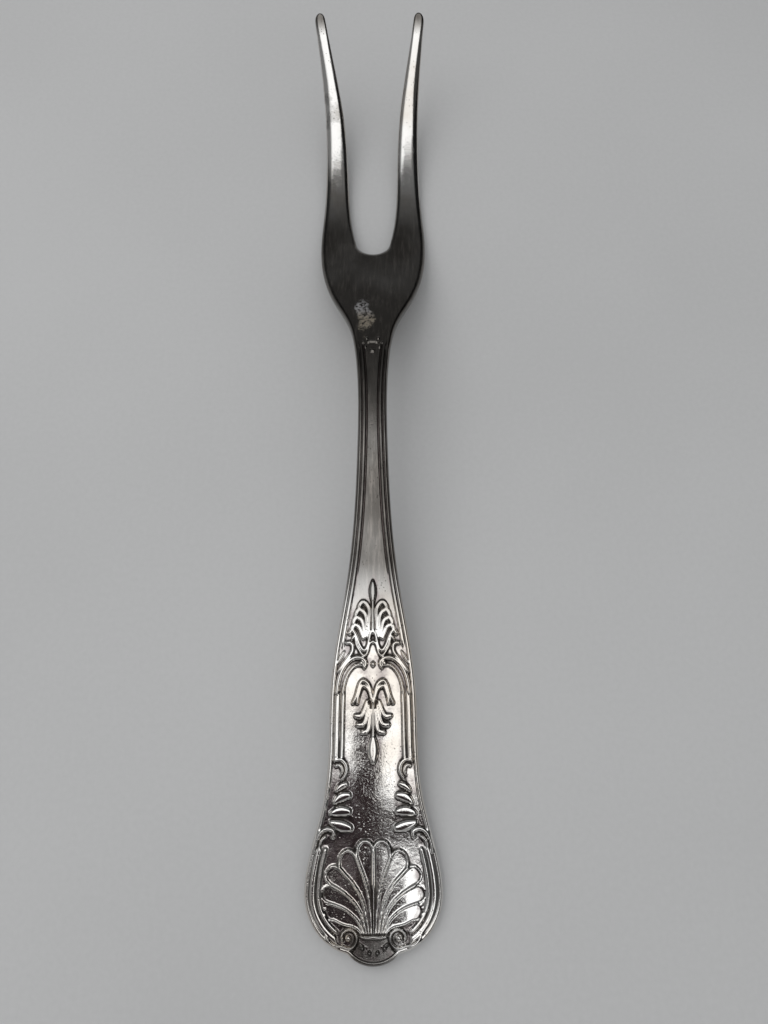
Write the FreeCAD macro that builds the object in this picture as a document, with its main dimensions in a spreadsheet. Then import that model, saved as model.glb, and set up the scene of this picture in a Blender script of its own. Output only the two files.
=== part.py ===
"""Two-tine serving fork, struck and forged from one bar of nickel silver and silver plated.

The fork lies along Y with its tines towards +Y and its ornamented face up.
"""
import FreeCAD
import Part
import Sketcher
import math
import os
from FreeCAD import Rotation, Vector

doc = FreeCAD.newDocument("serving_fork")
sheet = doc.addObject("Spreadsheet::Sheet", "sizes")
# The stations of the fork, from the end of the handle to the tips.
STATIONS = (
    "lobe", "lobe_top", "waist_foot", "waist", "shoulder", "taper_top", "taper_middle", "taper_foot",
    "stem", "neck", "neck_flare", "palm_foot", "palm_middle", "palm_shoulder", "palm",
    "tine_root", "tine_waist", "tine_flare", "tip",
)
# Driving dimensions in millimetres.  _at is a distance from the end of the handle
# and _back one from the tips; width is the full width of the outline, under the height
# of the underside above the table, and thick the thickness at the middle.
SIZES = {
    "overall_length": 220.0,
    "lobe_at": 12.5, "lobe_width": 26.8, "lobe_under": 0.2, "lobe_thick": 2.4,
    "lobe_top_at": 22.0, "lobe_top_width": 23.6, "lobe_top_under": 0.9, "lobe_top_thick": 2.4,
    "waist_foot_at": 30.0, "waist_foot_width": 19.6, "waist_foot_under": 1.9, "waist_foot_thick": 2.45,
    "waist_at": 42.0, "waist_width": 17.8, "waist_under": 3.5, "waist_thick": 2.5,
    "shoulder_at": 52.0, "shoulder_width": 17.1, "shoulder_under": 5.05, "shoulder_thick": 2.6,
    "taper_top_width": 15.0, "taper_top_under": 6.3, "taper_top_thick": 2.6,
    "taper_middle_width": 10.8, "taper_middle_under": 8.1, "taper_middle_thick": 2.75,
    "taper_foot_width": 8.1, "taper_foot_under": 9.7, "taper_foot_thick": 2.9,
    "stem_width": 6.6, "stem_under": 11.3, "stem_thick": 3.2,
    "neck_width": 6.5, "neck_under": 11.9, "neck_thick": 3.4,
    "neck_flare_back": 96.0, "neck_flare_width": 7.8, "neck_flare_under": 11.45, "neck_flare_thick": 3.4,
    "palm_foot_back": 88.0, "palm_foot_width": 10.9, "palm_foot_under": 9.8, "palm_foot_thick": 3.2,
    "palm_middle_back": 79.0, "palm_middle_width": 18.7, "palm_middle_under": 6.8, "palm_middle_thick": 3.0,
    "palm_shoulder_back": 70.0, "palm_shoulder_width": 24.2, "palm_shoulder_under": 3.8,
    "palm_shoulder_thick": 2.85,
    "palm_back": 57.0, "palm_width": 26.3, "palm_under": 0.8, "palm_thick": 2.8,
    "tine_root_back": 48.0, "tine_root_width": 25.3, "tine_root_under": 0.0, "tine_root_thick": 2.9,
    "tine_waist_back": 29.0, "tine_waist_width": 24.2, "tine_waist_under": 2.65, "tine_waist_thick": 3.0,
    "tine_flare_back": 13.0, "tine_flare_width": 25.5, "tine_flare_under": 9.0, "tine_flare_thick": 2.8,
    "tip_back": 1.2, "tip_width": 28.1, "tip_under": 17.2, "tip_thick": 2.6,
    # The end of the handle, and the heel on which it rests.
    "end_under": 0.4, "end_thick": 2.1,
    "heel_at": 7.0, "heel_under": 0.0, "heel_thick": 2.35,
    "lobe_radius": 10.66, "tongue_radius": 7.0,
    # The bar before it is cut to the outline, and its crowned faces.
    "bar_margin": 0.55, "bar_spare": 3.0, "crown_radius": 170.0, "back_radius": 400.0,
    # The gap between the tines, their round tips and their lean to the left.
    "crotch_back": 62.2, "crotch_radius": 4.3,
    "gap_root_back": 54.0, "gap_root_width": 10.3,
    "gap_waist_back": 36.0, "gap_waist_width": 12.8,
    "gap_flare_back": 17.0, "gap_flare_width": 16.0,
    "tip_radius": 1.3, "tine_lean": 0.7, "edge_bevel": 0.55,
    # The shell, and on one side each flute from the middle outwards: how far out and
    # where it ends, how far out and where it bends, and half its width near the rim.
    "hinge_at": 6.0, "hinge_step": 0.48, "rim_width": 0.7, "flute_depth": 0.35,
    "flute_1_tip_out": 1.7, "flute_1_tip_at": 20.9, "flute_1_bend_out": 0.45, "flute_1_bend_at": 13.6,
    "flute_2_tip_out": 5.1, "flute_2_tip_at": 19.2, "flute_2_bend_out": 1.3, "flute_2_bend_at": 13.2,
    "flute_3_tip_out": 8.1, "flute_3_tip_at": 16.0, "flute_3_bend_out": 1.8, "flute_3_bend_at": 12.3,
    "flute_4_tip_out": 9.0, "flute_4_tip_at": 12.2, "flute_4_bend_out": 3.8, "flute_4_bend_at": 12.0,
    "flute_5_tip_out": 8.2, "flute_5_tip_at": 9.2, "flute_5_bend_out": 5.0, "flute_5_bend_at": 8.8,
    "flute_1_half": 1.3, "flute_2_half": 1.3, "flute_3_half": 1.2, "flute_4_half": 1.0,
    "flute_5_half": 0.85,
    "volute_at": 4.9, "volute_out": 4.75, "volute_radius": 1.3, "volute_half": 0.36,
    "eye_radius": 0.6, "bead_radius": 0.5,
    # Threads: half width of the grooves and how far each lies in from the outline.
    "thread_half": 0.26, "outer_thread": 1.15, "middle_thread": 2.15, "inner_thread": 3.1,
    # Half widths of the scrolls, husks and leaves.
    "scroll_half": 0.5, "husk_half": 0.62, "husk_length": 3.3, "leaf_half": 0.5, "bud_half": 0.85,
    "drop_half": 1.0,
}
# The taper and the stem take up the fork's length: their shares of the way from the
# shoulder to the neck's flare.
SHARES = {
    "taper_top_share": 0.1111, "taper_middle_share": 0.2778, "taper_foot_share": 0.4444,
    "stem_share": 0.6667, "neck_share": 0.875,
}
for row, (alias, value) in enumerate({**SIZES, **SHARES}.items(), 1):
    sheet.set(f"A{row}", alias.replace("_", " "))
    sheet.set(f"B{row}", str(value))
    sheet.setAlias(f"B{row}", alias)
doc.recompute()


def cell(alias):
    """The value of a named size."""
    return float(sheet.get(alias))


def place_words(name):
    """Where a named place lies along the fork, as words for an expression."""
    if f"{name}_at" in SIZES:
        return f"sizes.{name}_at"
    if f"{name}_back" in SIZES:
        return f"(sizes.overall_length - sizes.{name}_back)"
    rise = "(sizes.overall_length - sizes.neck_flare_back - sizes.shoulder_at)"
    return f"(sizes.shoulder_at + sizes.{name}_share * {rise})"


def place_of(name):
    """Where a named place lies along the fork."""
    if f"{name}_at" in SIZES:
        return cell(f"{name}_at")
    if f"{name}_back" in SIZES:
        return cell("overall_length") - cell(f"{name}_back")
    shoulder = cell("shoulder_at")
    return shoulder + cell(f"{name}_share") * (place_of("neck_flare") - shoulder)


def fix(sketch, value, *constraint):
    """Add one dimension to a sketch and bind it to the sheet."""
    index = sketch.addConstraint(Sketcher.Constraint(*constraint))
    sketch.setExpression(f"Constraints[{index}]", value)


def bar_section(body, name, place, under, thick, under_now, thick_now):
    """One upright section of the bar: crowned above and below, plain at the sides."""
    sketch = body.newObject("Sketcher::SketchObject", f"{name}_section")
    upright = [plane for plane in body.Origin.OriginFeatures if plane.Role == "XZ_Plane"][0]
    sketch.AttachmentSupport = [(upright, "")]
    sketch.MapMode = "FlatFace"
    sketch.setExpression("AttachmentOffset.Base.z", f"-({place})")
    half = max(cell("lobe_width"), cell("tip_width") + 2 * cell("tine_lean")) / 2 + cell("bar_margin")
    crown = cell("crown_radius")
    back = cell("back_radius")
    top_turn = math.asin(half / crown)
    back_turn = math.asin(half / back)
    top_centre = Vector(0, under_now + thick_now - crown, 0)
    back_centre = Vector(0, under_now + back, 0)
    top_circle = Part.Circle(top_centre, Vector(0, 0, 1), crown)
    back_circle = Part.Circle(back_centre, Vector(0, 0, 1), back)
    upper = Part.ArcOfCircle(top_circle, math.pi / 2 - top_turn, math.pi / 2 + top_turn)
    lower = Part.ArcOfCircle(back_circle, -math.pi / 2 - back_turn, -math.pi / 2 + back_turn)
    top_arc = sketch.addGeometry(upper, False)
    left = sketch.addGeometry(Part.LineSegment(upper.EndPoint, lower.StartPoint), False)
    back_arc = sketch.addGeometry(lower, False)
    right = sketch.addGeometry(Part.LineSegment(lower.EndPoint, upper.StartPoint), False)
    joins = ((top_arc, 2, left, 1), (left, 2, back_arc, 1), (back_arc, 2, right, 1), (right, 2, top_arc, 1))
    for join in joins:
        sketch.addConstraint(Sketcher.Constraint("Coincident", *join))
    for side in (left, right):
        sketch.addConstraint(Sketcher.Constraint("Vertical", side))
    sketch.addConstraint(Sketcher.Constraint("PointOnObject", top_arc, 3, -2))
    sketch.addConstraint(Sketcher.Constraint("PointOnObject", back_arc, 3, -2))
    sketch.addConstraint(Sketcher.Constraint("Symmetric", top_arc, 1, top_arc, 2, -2))
    widest = "max(sizes.lobe_width; sizes.tip_width + 2 * sizes.tine_lean)"
    fix(sketch, f"{widest} + 2 * sizes.bar_margin", "DistanceX", top_arc, 2, top_arc, 1, 2 * half)
    fix(sketch, "sizes.crown_radius", "Radius", top_arc, crown)
    fix(sketch, "sizes.back_radius", "Radius", back_arc, back)
    drop = f"sizes.crown_radius - ({under}) - ({thick})"
    fix(sketch, drop, "DistanceY", top_arc, 3, -1, 1, -top_centre.y)
    fix(sketch, f"sizes.back_radius + ({under})", "DistanceY", -1, 1, back_arc, 3, back_centre.y)
    return sketch


bar = doc.addObject("PartDesign::Body", "bar")
sections = []
ends = (
    ("end", "-sizes.bar_spare", "sizes.end_under", "sizes.end_thick", "end"),
    ("heel", "sizes.heel_at", "sizes.heel_under", "sizes.heel_thick", "heel"),
)
for name, place, under, thick, at in ends:
    now = (cell(f"{at}_under"), cell(f"{at}_thick"))
    sections.append(bar_section(bar, name, place, under, thick, *now))
for name in STATIONS:
    now = (cell(f"{name}_under"), cell(f"{name}_thick"))
    words = (place_words(name), f"sizes.{name}_under", f"sizes.{name}_thick")
    sections.append(bar_section(bar, name, *words, *now))

# The last section carries the slope of the tines past their tips.
slope = "((sizes.tip_under - sizes.tine_flare_under) / (sizes.tine_flare_back - sizes.tip_back))"
slope_now = (cell("tip_under") - cell("tine_flare_under")) / (cell("tine_flare_back") - cell("tip_back"))
past_under = cell("tip_under") + 1.1 * slope_now * cell("bar_spare")
sections.append(bar_section(
    bar, "past_tip", f"{place_words('tip')} + sizes.bar_spare",
    f"sizes.tip_under + 1.1 * {slope} * sizes.bar_spare", "sizes.tip_thick",
    past_under, cell("tip_thick"),
))
doc.recompute()
bar_loft = bar.newObject("PartDesign::AdditiveLoft", "bar_loft")
bar_loft.Profile = sections[0]
bar_loft.Sections = sections[1:]
bar_loft.Ruled = False
doc.recompute()


def lean(at):
    """Sideways shift of the tines at a place along the fork."""
    share = max(0.0, (at - place_of("palm")) / (place_of("tip") - place_of("palm")))
    return -cell("tine_lean") * share ** 2


def smooth(points, first, last):
    """A smooth curve through points, leaving and arriving in two directions."""
    run = [0.0]
    for start, end in zip(points, points[1:]):
        run.append(run[-1] + (end - start).Length)
    curve = Part.BSplineCurve()
    curve.interpolate(Points=points, Parameters=run, InitialTangent=first, FinalTangent=last, Scale=False)
    return curve.toShape()


def edge_of(side, name):
    """The point of the outline, or of the gap, at a named place."""
    return Vector(side * cell(f"{name}_width") / 2 + lean(place_of(name)), place_of(name), 0)


def outline_half(side):
    """Outer edge, round tip and inner edge of the tine on one side, from the lobe on."""
    outer = [edge_of(side, name) for name in STATIONS[:-1]]
    inner = [edge_of(side, name) for name in ("gap_flare", "gap_waist", "gap_root")]
    tip_radius = cell("tip_radius")
    tip = Vector(side * (cell("tip_width") / 2 - tip_radius) + lean(place_of("tip")),
                 cell("overall_length") - tip_radius, 0)
    along = (tip + Vector(side * tip_radius, 0, 0) - outer[-1]).normalize()
    back = (inner[0] - tip + Vector(side * tip_radius, 0, 0)).normalize()
    outer_end = tip + Vector(side * along.y, -side * along.x, 0) * tip_radius
    inner_start = tip + Vector(side * back.y, -side * back.x, 0) * tip_radius
    far = tip + (along - back).normalize() * tip_radius
    radius = cell("crotch_radius")
    centre = Vector(0, place_of("crotch") + radius, 0)
    turn = math.radians(12)
    half_turn = math.radians(50)
    low = centre + Vector(side * radius * math.cos(turn), -radius * math.sin(turn), 0)
    bend = centre + Vector(side * radius * math.cos(half_turn), -radius * math.sin(half_turn), 0)
    bottom = Vector(0, place_of("crotch"), 0)
    arrive = Vector(-side * math.sin(turn), -math.cos(turn), 0)
    return [
        smooth(outer + [outer_end], Vector(0, 1, 0), along),
        Part.Arc(outer_end, far, inner_start).toShape(),
        smooth([inner_start] + inner + [low], back, arrive),
        Part.Arc(low, bend, bottom).toShape(),
    ]


def handle_end():
    """Round lobes and tongue, from the widest place on one side to the other."""
    lobe = Vector(cell("lobe_width") / 2 - cell("lobe_radius"), cell("lobe_at"), 0)
    tongue = Vector(0, cell("tongue_radius"), 0)
    gap = tongue - lobe
    span = gap.Length
    reach = (cell("lobe_radius") ** 2 - cell("tongue_radius") ** 2 + span ** 2) / (2 * span)
    rise = math.sqrt(cell("lobe_radius") ** 2 - reach ** 2)
    across = Vector(-gap.y, gap.x, 0).normalize()
    notch = lobe + gap.normalize() * reach
    notch = min((notch + across * rise, notch - across * rise), key=lambda p: p.y)
    edges = []
    for side in (1, -1):
        start = Vector(side * cell("lobe_width") / 2, cell("lobe_at"), 0)
        corner = Vector(side * notch.x, notch.y, 0)
        centre = Vector(side * lobe.x, lobe.y, 0)
        middle = ((start - centre).normalize() + (corner - centre).normalize()).normalize()
        edges.append(Part.Arc(start, centre + middle * cell("lobe_radius"), corner).toShape())
    right = Vector(notch.x, notch.y, 0)
    left = Vector(-notch.x, notch.y, 0)
    edges.append(Part.Arc(right, Vector(0, 0, 0), left).toShape())
    return edges


outline = doc.addObject("Part::Feature", "outline")
right_half = outline_half(1)
outline.Shape = Part.Wire(Part.__sortEdges__(right_half + outline_half(-1) + handle_end()))
prism = doc.addObject("Part::Extrusion", "outline_prism")
prism.Base = outline
prism.DirMode = "Custom"
prism.Dir = Vector(0, 0, 1)
prism.Solid = True
prism.setExpression("LengthFwd", "sizes.tip_under + sizes.tip_thick + sizes.bar_spare * 2")
prism.setExpression("LengthRev", "sizes.bar_spare")
cut_bar = doc.addObject("Part::Common", "cut_bar")
cut_bar.Base = bar
cut_bar.Tool = prism
cut_bar.Refine = False
doc.recompute()


def slope_of(face, edge):
    """How level a face lies beside an edge: 1 is level, 0 is upright."""
    middle = (edge.FirstParameter + edge.LastParameter) / 2
    return abs(face.normalAt(*face.Surface.parameter(edge.valueAt(middle))).z)


def rim_edges(shape):
    """Names of the edges between an upright side and the upper face or the back."""
    names = []
    for number, edge in enumerate(shape.Edges, 1):
        slopes = sorted(slope_of(face, edge) for face in shape.ancestorsOfType(edge, Part.Face))
        if len(slopes) == 2 and slopes[0] < 0.5 < slopes[1]:
            names.append(f"Edge{number}")
    return names


# Every long edge of the upper face and of the back is bevelled.
blank = doc.addObject("PartDesign::Body", "blank")
blank.BaseFeature = cut_bar
doc.recompute()
base = blank.Group[0]
bevel = blank.newObject("PartDesign::Chamfer", "bevelled_edges")
bevel.Base = (base, rim_edges(base.Shape))
bevel.setExpression("Size", "sizes.edge_bevel")
doc.recompute()
crown = max(bar_loft.Shape.Faces, key=lambda face: face.CenterOfMass.z * (face.Area > 3000))


def seat(x, at):
    """The point of the crowned upper face over a place in the plan."""
    plumb = Part.Line(Vector(x, at, 0), Vector(x, at, 1))
    points, _ = plumb.intersectCS(crown.Surface)
    return Vector(x, at, max(point.Z for point in points))


def edge_point(at, inset):
    """A place at a distance in from the right-hand outline."""
    curve = right_half[0].Curve
    if at < cell("lobe_at"):
        centre = Vector(cell("lobe_width") / 2 - cell("lobe_radius"), cell("lobe_at"), 0)
        turn = math.asin((at - centre.y) / cell("lobe_radius"))
        radius = cell("lobe_radius") - inset
        return centre.x + radius * math.cos(turn), centre.y + radius * math.sin(turn)
    where = curve.intersectCC(Part.Line(Vector(0, at, 0), Vector(1, at, 0)))
    point = Vector(where[0].X, where[0].Y, 0)
    tangent = Vector(*curve.tangent(curve.parameter(point))[0])
    inward = Vector(-tangent.y, tangent.x, 0).normalize()
    place = point + inward * inset
    return place.x, place.y


def along_face(points, number):
    """Directions at one point of a run over the upper face: along the run and up."""
    along = (points[min(number + 1, len(points) - 1)] - points[max(number - 1, 0)]).normalize()
    return along, (Vector(0, 0, 1) - along * along.z).normalize()


def loft(name, profiles):
    """A solid through a row of profiles."""
    solid = doc.addObject("Part::Loft", name)
    solid.Sections = profiles
    solid.Solid = True
    solid.Ruled = True
    return solid


def stroke(name, points, half, cut=False):
    """A ridge along points of the upper face, or a groove when it is to be cut.

    Each point holds its place across, its place along and its share of the half
    width. A ridge stands with its foot in the metal; a groove is a plain vee.
    """
    seats = [seat(x, at) for x, at, _ in points]
    form = ((0, -1.0), (1.4, 0.4), (-1.4, 0.4)) if cut else ((0, 0.6), (1.5, -0.3), (-1.5, -0.3))
    profiles = []
    for number, (place, (_, _, share)) in enumerate(zip(seats, points)):
        along, up = along_face(seats, number)
        profile = doc.addObject("Part::Polygon", f"{name}_profile_{number + 1}")
        profile.Nodes = [Vector(x * share * half, y * share * half, 0) for x, y in form]
        profile.Close = True
        profile.Placement = FreeCAD.Placement(place, Rotation(up.cross(along), up, along, "ZYX"))
        profiles.append(profile)
    return loft(name, profiles)


def bend(start, middle, end, share):
    """A point of the plain curve that leaves start towards middle and ends at end."""
    return tuple(
        (1 - share) ** 2 * a + 2 * share * (1 - share) * b + share ** 2 * c
        for a, b, c in zip(start, middle, end)
    )


def leaf(name, root, tip, half):
    """A leaf that rises from its root and turns outwards to a full round tip."""
    middle = (root[0] + 0.15 * (tip[0] - root[0]), tip[1] - 0.1 * (tip[1] - root[1]))
    form = ((0, 0.4), (0.45, 0.6), (0.8, 1.0), (1, 0.3))
    return stroke(name, [(*bend(root, middle, tip, t), w) for t, w in form], half)


def anchored(points, across, at):
    """Points counted from a place of the fork, as points of the upper face."""
    return [(across + x, at + y, share) for x, y, share in points]


raised = []
threads = []
hollows = []

# Shell: each flute is a hollow cut into a ridge that leaves its rim standing.
FLUTE_FORM = ((0, 0.15), (0.35, 0.33), (0.65, 0.68), (0.86, 1.0), (1, 0.35))
for number in range(1, 6):
    name = f"flute_{number}"
    root = (cell("hinge_step") * (number - 0.5), cell("hinge_at"))
    turning = (cell(f"{name}_bend_out"), cell(f"{name}_bend_at"))
    tip = (cell(f"{name}_tip_out"), cell(f"{name}_tip_at"))
    way = Vector(tip[0] - turning[0], tip[1] - turning[1], 0).normalize() * cell("rim_width")
    rim_tip = (tip[0] + way.x, tip[1] + way.y)
    ridge = [(*bend(root, turning, rim_tip, t), w) for t, w in FLUTE_FORM]
    raised.append(stroke(f"{name}_rim", ridge, cell(f"{name}_half") + cell("rim_width")))
    places = [seat(*bend(root, turning, tip, t)) for t, _ in FLUTE_FORM]
    hollow = []
    for place_number, (place, (_, share)) in enumerate(zip(places, FLUTE_FORM)):
        along, up = along_face(places, place_number)
        ring = doc.addObject("Part::Circle", f"{name}_ring_{place_number + 1}")
        ring.setExpression(
            "Radius",
            f"{share} * (sizes.{name}_half^2 + sizes.flute_depth^2) / (2 * sizes.flute_depth)",
        )
        doc.recompute([ring])
        lift = ring.Radius.Value - share * cell("flute_depth")
        turn = Rotation(up, along.cross(up), along, "ZXY")
        ring.Placement = FreeCAD.Placement(place + up * lift, turn)
        hollow.append(ring)
    hollows.append(loft(f"{name}_hollow", hollow))

# Volutes beside the hinge, an open ring round an eye.
out, at, radius = cell("volute_out"), cell("volute_at"), cell("volute_radius")
ring = []
for step in range(10):
    turn = math.radians(20 + 35 * step)
    ring.append((out + radius * math.cos(turn), at + radius * math.sin(turn), min(1.0, 0.5 + step / 8)))
raised.append(stroke("volute", ring, cell("volute_half")))


def bead(name, x, at, radius):
    """A round bead, sunk by a third of its radius."""
    ball = doc.addObject("Part::Sphere", name)
    ball.setExpression("Radius", f"sizes.{radius}")
    ball.Placement.Base = seat(x, at) - Vector(0, 0, cell(radius) / 3)
    return ball


raised.append(bead("volute_eye", out, at, "eye_radius"))

# C-scroll that ends the lobe's threads, and the threads themselves.
raised.append(stroke("lobe_scroll", anchored((
    (-0.9, -1.4, 0.4), (-1.0, 0.4, 0.8), (-1.8, 1.7, 1.0),
    (-2.9, 2.0, 1.0), (-3.7, 1.3, 1.3), (-3.7, 0.6, 0.6),
), cell("lobe_top_width") / 2, cell("lobe_top_at")), cell("scroll_half")))
for thread, start, stop in (("outer", 3.0, 19.0), ("middle", 3.2, 19.5), ("inner", 4.6, 18.0)):
    run = []
    for step in range(8):
        at = start + (stop - start) * step / 7
        run.append((*edge_point(at, cell(f"{thread}_thread")), 1.0))
    threads.append(stroke(f"lobe_{thread}_thread", run, cell("thread_half"), cut=True))

# Husks in a row up the waist, tilted one after the other.
HUSKS = ((-3.6, 1.6, 22), (-3.7, -0.1, 14), (-3.2, -2.7, 0), (-3.0, -5.1, -22))
for number, (x, y, tilt) in enumerate(HUSKS, 1):
    half_length = cell("husk_length") / 2
    lie = math.radians(180 - tilt)
    form = ((-1, 0.25), (-0.45, 1.0), (0.45, 1.0), (1, 0.25))
    row = [(x + half_length * t * math.cos(lie), y + half_length * t * math.sin(lie), w) for t, w in form]
    beside = anchored(row, cell("waist_foot_width") / 2, cell("waist_foot_at"))
    raised.append(stroke(f"husk_{number}", beside, cell("husk_half")))
raised.append(stroke("waist_hook", anchored((
    (-1.5, 5.3, 0.4), (-1.7, 6.4, 0.8), (-2.6, 6.9, 1.0),
    (-3.6, 6.3, 1.0), (-4.0, 5.0, 0.9), (-3.6, 3.4, 0.5),
), cell("waist_width") / 2, cell("waist_foot_at")), cell("scroll_half")))

# Threads of the waist, then scrolls that turn in to the middle above them.
shoulder = cell("shoulder_at")
for thread in ("outer", "middle", "inner"):
    first = cell("waist_foot_at") + 7
    run = []
    for step in range(4):
        at = first + (shoulder - 2.5 - first) * step / 3
        run.append((*edge_point(at, cell(f"{thread}_thread")), 1.0 if step else 0.5))
    threads.append(stroke(f"waist_{thread}_thread", run, cell("thread_half"), cut=True))
raised.append(stroke("outer_scroll", anchored((
    (7.4, -3.0, 0.4), (7.3, -1.0, 0.8), (6.6, 1.2, 1.0), (5.3, 3.0, 1.0), (3.6, 4.1, 1.0), (2.2, 4.1, 1.0),
    (1.5, 3.3, 1.1), (1.7, 2.6, 0.7),
), 0, shoulder), cell("scroll_half")))
raised.append(stroke("inner_scroll", anchored((
    (6.1, -2.6, 0.3), (5.7, -0.4, 0.6), (4.8, 1.4, 0.7), (3.5, 2.6, 0.7), (2.6, 2.8, 0.5),
), 0, shoulder), cell("scroll_half")))
raised.append(stroke("ear_scroll", anchored((
    (7.3, 1.6, 0.4), (7.0, 3.8, 0.7), (6.2, 5.8, 0.9), (5.3, 7.0, 1.0), (4.4, 7.0, 1.2), (4.3, 6.2, 0.6),
), 0, shoulder), cell("scroll_half")))

# Threads of the taper and the stem.
for thread in ("outer", "middle"):
    run = []
    first = place_of("taper_top") - 1
    for step in range(8):
        at = first + (place_of("neck_flare") - first) * step / 7
        pinch = 1 - 0.25 * min(1, (at - first) / 30)
        run.append((*edge_point(at, cell(f"{thread}_thread") * pinch), 1.0 if 0 < step < 7 else 0.5))
    threads.append(stroke(f"stem_{thread}_thread", run, cell("thread_half"), cut=True))

# Palmettes back to back at the shoulder: leaves rising, a calyx, drooping leaves under an arch.
top = shoulder + 9.0
RISING = ((2.0, 6.4, 0.6), (2.9, 4.7, 1.0), (3.3, 3.0, 1.3), (3.8, 1.4, 1.6))
for number, (tip_x, tip_y, root_x) in enumerate(RISING, 1):
    root, tip = (root_x, top - 1.0), (tip_x, top + tip_y)
    raised.append(leaf(f"rising_leaf_{number}", root, tip, cell("leaf_half")))
raised.append(stroke("calyx", anchored((
    (4.4, 1.3, 0.3), (3.6, -0.2, 0.9), (2.6, -2.0, 1.0),
    (1.7, -3.0, 1.0), (0.9, -1.9, 0.8), (0.35, 0.2, 0.3),
), 0, top), cell("scroll_half")))
low = shoulder - 5.0
raised.append(stroke("arch", anchored((
    (0.25, 1.5, 0.3), (0.6, 3.6, 0.7), (1.5, 5.2, 0.9), (2.6, 4.6, 0.9), (3.6, 2.6, 0.8), (4.2, 0.6, 0.3),
), 0, low), cell("scroll_half")))
DROOPING = ((3.7, -2.2, 1.4), (3.1, -4.0, 1.0), (2.1, -5.6, 0.6))
for number, (tip_x, tip_y, root_x) in enumerate(DROOPING, 1):
    root, tip = (root_x, low + 1.6 - 0.35 * number), (tip_x, low + tip_y)
    raised.append(leaf(f"drooping_leaf_{number}", root, tip, cell("leaf_half")))

# Middle pieces of the relief.
middle_pieces = [
    bead("tongue_bead", 0.0, 2.3, "bead_radius"),
    bead("shoulder_bead", 0.0, shoulder + 3.0, "bead_radius"),
    stroke("rising_bud", [(0, top + y, w) for y, w in (
        (-1.0, 0.3), (2.5, 0.4), (5.5, 0.45), (7.3, 0.7), (8.8, 1.0), (10.2, 0.9), (11.2, 0.3),
    )], cell("bud_half")),
    stroke("drop", [(0, low + y, w) for y, w in (
        (3.5, 0.2), (-1.0, 0.3), (-4.5, 0.35), (-6.3, 0.7), (-8.0, 1.0), (-9.4, 0.8), (-10.2, 0.3),
    )], cell("drop_half")),
    stroke("neck_bud", [(0, place_of("neck_flare") + y, w) for y, w in (
        (-2.2, 0.3), (-0.9, 0.8), (0.3, 0.8), (1.4, 0.25),
    )], cell("bud_half")),
]


def combine(kind, name, **links):
    """One solid out of others, with all of its edges kept."""
    result = doc.addObject(kind, name)
    result.Refine = False
    for link, solids in links.items():
        setattr(result, link, solids)
    return result


def both_sides(name, solids):
    """Solids of the right-hand side, and the same on the left."""
    right = combine("Part::MultiFuse", f"right_{name}", Shapes=solids)
    left = doc.addObject("Part::Mirroring", f"left_{name}")
    left.Source = right
    left.Normal = Vector(1, 0, 0)
    return right, left


# The die sinks the threads, raises the relief and dishes the flutes of the shell.
right_threads, left_threads = both_sides("threads", threads)
right_relief, left_relief = both_sides("relief", raised)
right_hollows, left_hollows = both_sides("hollows", hollows)
half_threaded = combine("Part::Cut", "half_threaded", Base=blank, Tool=right_threads)
threaded = combine("Part::Cut", "threaded", Base=half_threaded, Tool=left_threads)
struck = combine("Part::MultiFuse", "struck", Shapes=[threaded, right_relief, left_relief] + middle_pieces)
half_fluted = combine("Part::Cut", "half_fluted", Base=struck, Tool=right_hollows)
fork = combine("Part::Cut", "fork", Base=half_fluted, Tool=left_hollows)
fork.Label = "fork"
fork.setExpression("Placement.Base.y", "-sizes.overall_length / 2")
doc.recompute()

for item in doc.Objects:
    if "Invalid" in item.State or "Error" in item.State:
        raise RuntimeError(f"{item.Name} failed: {item.State}")
    if hasattr(item, "Shape") and not item.Shape.isNull() and not item.Shape.isValid():
        raise RuntimeError(f"{item.Name} has a broken shape")
if fork.Shape.isNull() or len(fork.Shape.Solids) != 1:
    raise RuntimeError("the fork is not one solid")

os.makedirs("parts", exist_ok=True)
fork.Shape.exportStep(f"parts/{fork.Label}.step")
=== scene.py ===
"""Two-tine serving fork with a struck shell at the end of its handle, on a pale desk.

The fork lies along Y, tines towards +Y, ornamented face up.  Its sizes are in
millimetres: u is the distance from the middle line, s from the end of the handle.
"""
import math

import bmesh
import bpy
import numpy as np
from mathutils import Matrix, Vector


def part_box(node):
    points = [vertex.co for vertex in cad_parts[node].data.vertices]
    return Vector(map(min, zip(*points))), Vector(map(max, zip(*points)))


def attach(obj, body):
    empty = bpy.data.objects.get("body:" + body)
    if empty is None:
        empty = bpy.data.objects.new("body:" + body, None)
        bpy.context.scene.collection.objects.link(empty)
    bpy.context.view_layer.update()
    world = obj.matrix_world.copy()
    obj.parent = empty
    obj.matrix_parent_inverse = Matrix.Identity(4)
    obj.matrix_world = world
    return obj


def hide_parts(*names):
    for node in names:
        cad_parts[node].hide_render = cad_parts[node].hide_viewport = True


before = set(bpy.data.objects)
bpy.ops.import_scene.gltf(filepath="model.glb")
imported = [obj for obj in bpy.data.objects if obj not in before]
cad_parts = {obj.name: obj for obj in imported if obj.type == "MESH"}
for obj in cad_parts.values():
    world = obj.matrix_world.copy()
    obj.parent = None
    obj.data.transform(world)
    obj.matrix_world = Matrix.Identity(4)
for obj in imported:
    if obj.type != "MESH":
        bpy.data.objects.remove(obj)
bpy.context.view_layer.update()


# ---------------------------------------------------------------- fork: form
# The whole fork is one bar of nickel silver, forged and struck.  Its skin is a grid of
# rows from the middle line, or from the gap between the tines, out to the edge and back
# underneath.
LENGTH = 220.0
fork_low, fork_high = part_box("fork")
MM = (fork_high[1] - fork_low[1]) / LENGTH
TABLE = fork_low[2]
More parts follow.
